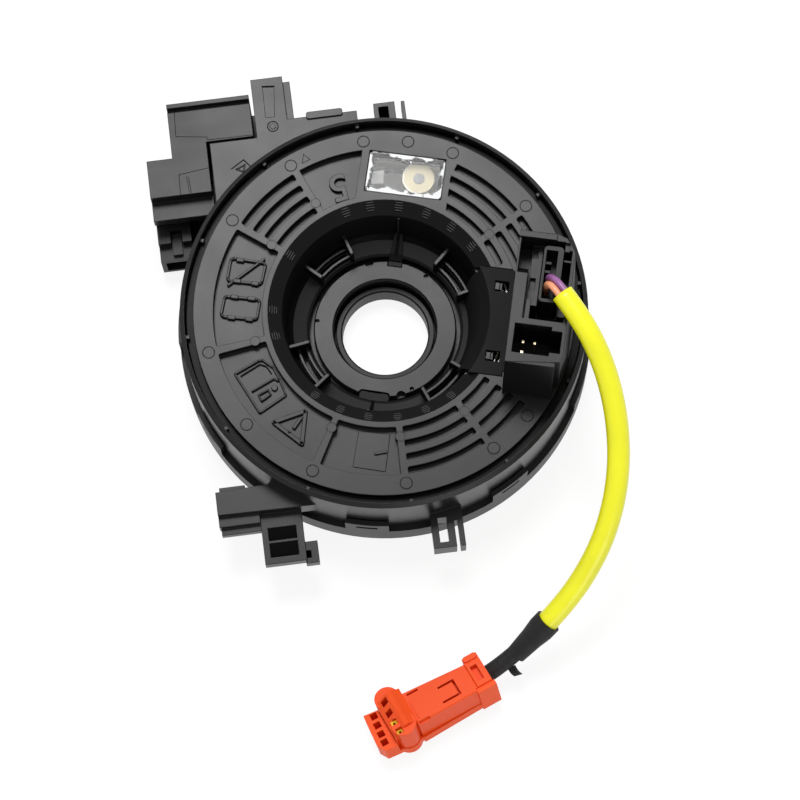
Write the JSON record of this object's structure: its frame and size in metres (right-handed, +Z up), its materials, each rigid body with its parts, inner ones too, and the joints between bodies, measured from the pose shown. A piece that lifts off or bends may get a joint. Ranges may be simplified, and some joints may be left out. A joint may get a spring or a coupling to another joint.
{
  "type": "steering clock spring",
  "caption": "Round black clock spring: a rotor with funnel and connector tower turns in a flanged housing with side sockets, and a yellow lead ends in an orange plug.",
  "frame": {"origin": "centre of the shaft bore on the back face", "axes": "+Z up along the steering shaft towards the wheel, +X to the right of the housing with its sockets at the left, +Y towards the terminal plate's tall tab"},
  "size_m": [0.1185, 0.1881, 0.0585],
  "materials": {
    "case_plastic": "satin",
    "lower_case_plastic": "satin",
    "cover_plastic": "satin",
    "sensor_socket_plastic": "satin",
    "joint_block_plastic": "satin",
    "tinned_pins": "satin",
    "board_laminate": "satin",
    "chip_resin": "matte",
    "gear_plastic": "satin",
    "magnet_ferrite": "matte",
    "ring_plastic": "satin",
    "rotor_plastic": "satin",
    "sleeve_plastic": "satin",
    "window_plastic": "clear",
    "tower_plastic": "satin",
    "squib_plastic": "satin",
    "purple_insulation": "satin",
    "peach_insulation": "satin",
    "yellow_sleeve": "satin",
    "black_tape": "matte",
    "plug_plastic": "satin",
    "plug_cover_plastic": "satin",
    "plug_insert_plastic": "satin",
    "flat_cable_film": "satin",
    "carrier_plastic": "satin",
    "roller_plastic": "satin"
  },
  "bodies": {
    "housing": {"stator_case": "case_plastic", "lower_case": "lower_case_plastic", "upper_socket_pins": "tinned_pins", "lower_socket_pins": "tinned_pins", "cable_joint_block": "joint_block_plastic", "flat_cable_outer": "flat_cable_film", "sensor_cover": "cover_plastic", "sensor_socket": "sensor_socket_plastic", "sensor_socket_pins": "tinned_pins", "sensor_board": "board_laminate", "sensor_chips": "chip_resin"},
    "rotor": {"rotor_disc": "rotor_plastic", "rotor_sleeve": "sleeve_plastic", "inspection_window": "window_plastic", "pad_connector": "tower_plastic", "pad_terminals": "tinned_pins", "squib_connector": "squib_plastic", "lead_wire_a": "purple_insulation", "lead_wire_b": "peach_insulation", "lead_sleeve": "yellow_sleeve", "tape_wrap": "black_tape", "taped_wires": "black_tape", "plug_housing": "plug_plastic", "plug_cover": "plug_cover_plastic", "plug_terminals": "plug_insert_plastic", "flat_cable_inner": "flat_cable_film", "sensor_ring": "ring_plastic"},
    "carrier": {"roller_carrier": "carrier_plastic", "flat_cable_loop": "flat_cable_film"},
    "roller_1": {"cable_roller_1": "roller_plastic"},
    "roller_2": {"cable_roller_2": "roller_plastic"},
    "roller_3": {"cable_roller_3": "roller_plastic"},
    "roller_4": {"cable_roller_4": "roller_plastic"},
    "gear_a": {"sensor_gear_a": "gear_plastic", "magnet_a": "magnet_ferrite"},
    "gear_b": {"sensor_gear_b": "gear_plastic", "magnet_b": "magnet_ferrite"}
  },
  "joints": [
    {"name": "rotor_spin", "type": "hinge", "parent": "housing", "child": "rotor", "pos_m": [0, 0, 0], "axis": [0, 0, 1], "range_deg": [-885, 915]},
    {"name": "carrier_spin", "type": "hinge", "parent": "housing", "child": "carrier", "pos_m": [0, 0, 0], "axis": [0, 0, 1], "range_deg": [-395, 408]},
    {"name": "roller_1_spin", "type": "hinge", "parent": "carrier", "child": "roller_1", "pos_m": [0.01434, 0.03734, 0], "axis": [0, 0, 1], "range_deg": [-4087, 3953]},
    {"name": "roller_2_spin", "type": "hinge", "parent": "carrier", "child": "roller_2", "pos_m": [-0.03734, 0.01434, 0], "axis": [0, 0, 1], "range_deg": [-4087, 3953]},
    {"name": "roller_3_spin", "type": "hinge", "parent": "carrier", "child": "roller_3", "pos_m": [-0.01434, -0.03734, 0], "axis": [0, 0, 1], "range_deg": [-4087, 3953]},
    {"name": "roller_4_spin", "type": "hinge", "parent": "carrier", "child": "roller_4", "pos_m": [0.03734, -0.01434, 0], "axis": [0, 0, 1], "range_deg": [-4087, 3953]},
    {"name": "gear_a_spin", "type": "hinge", "parent": "housing", "child": "gear_a", "pos_m": [-0.03042, -0.01107, 0], "axis": [0, 0, 1], "range_deg": [-2113, 2044]},
    {"name": "gear_b_spin", "type": "hinge", "parent": "housing", "child": "gear_b", "pos_m": [-0.02932, 0.01184, 0], "axis": [0, 0, 1], "range_deg": [-2289, 2214]}
  ],
  "couplings": [
    {"joint": "carrier_spin", "follows": "rotor_spin", "ratio": 0.44469},
    {"joint": "roller_1_spin", "follows": "rotor_spin", "ratio": -4.4645},
    {"joint": "roller_2_spin", "follows": "rotor_spin", "ratio": -4.4645},
    {"joint": "roller_3_spin", "follows": "rotor_spin", "ratio": -4.4645},
    {"joint": "roller_4_spin", "follows": "rotor_spin", "ratio": -4.4645},
    {"joint": "gear_a_spin", "follows": "rotor_spin", "ratio": -2.3077},
    {"joint": "gear_b_spin", "follows": "rotor_spin", "ratio": -2.5}
  ]
}
